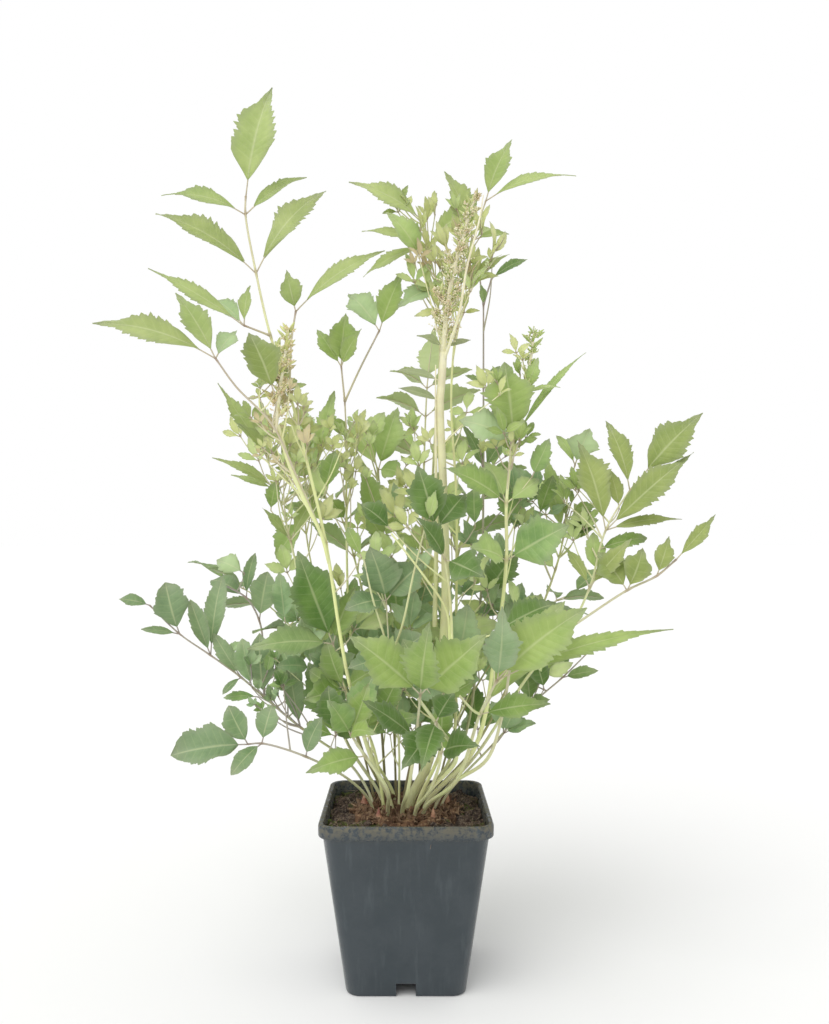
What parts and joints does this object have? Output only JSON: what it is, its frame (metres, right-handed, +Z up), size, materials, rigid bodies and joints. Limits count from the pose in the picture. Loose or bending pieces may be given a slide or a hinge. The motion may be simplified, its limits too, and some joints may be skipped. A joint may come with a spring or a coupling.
{
  "type": "astilbe plant in nursery pot",
  "caption": "Young astilbe clump with toothed compound leaves and budding plumes on thin upright stems, growing in a small square tapered nursery pot of peat.",
  "frame": {"origin": "on the ground under the middle of the pot, which is the bottom centre of the bounding box", "axes": "+Z up along the plant, +X to the right and +Y away from the viewer in the front view, square with the pot's sides"},
  "size_m": [0.3359, 0.2157, 0.4907],
  "materials": {
    "pot": "matt moulded plastic, dusted with peat along the rim",
    "peat": "rough, crumbly and fibrous",
    "crown": "rough, scaly and fibrous",
    "leaf_young": "thin translucent leaf, soft sheen, light yellow-green",
    "leaf_light": "thin leaf, soft sheen, light green with pale veins",
    "leaf_mid": "leaf, soft sheen, mid green with sunken veins",
    "leaf_dark": "leaf, soft sheen, dark green with sunken veins",
    "leaf_blue": "matt leaf, bluish green",
    "stalk": "smooth, pale cream-green, flushed with brown",
    "bud": "matt, tight buds in cream and pinkish brown"
  },
  "bodies": {
    "root": {"pot": "pot", "peat": "peat", "crown": "crown", "frond_tall_left": "leaf_young", "frond_center_flower": "stalk", "frond_top_center": "leaf_young", "frond_top_back": "leaf_young", "frond_thin_right": "leaf_dark", "frond_lobed": "leaf_mid", "frond_right_buds": "leaf_light", "frond_right_top": "leaf_young", "frond_right_inner": "leaf_mid", "frond_long_right": "leaf_light", "frond_dark_right": "leaf_dark", "frond_left_low": "leaf_blue", "frond_left_fall": "leaf_blue", "frond_front_left": "leaf_light", "frond_front_center": "leaf_light", "frond_front_low": "leaf_mid", "frond_mid_left": "leaf_mid", "frond_left_upper": "leaf_young", "frond_left_back": "leaf_mid", "frond_mid_center": "leaf_dark", "frond_upper_mid": "leaf_mid", "frond_right_center": "leaf_mid", "frond_back_high": "leaf_young", "frond_back_left": "leaf_mid", "frond_back_right": "leaf_mid", "frond_back_low": "leaf_blue", "frond_left_rear": "leaf_dark", "frond_right_rear": "leaf_dark", "flower_head_center": "bud", "flower_head_left": "bud", "flower_head_right": "bud"}
  },
  "joints": []
}
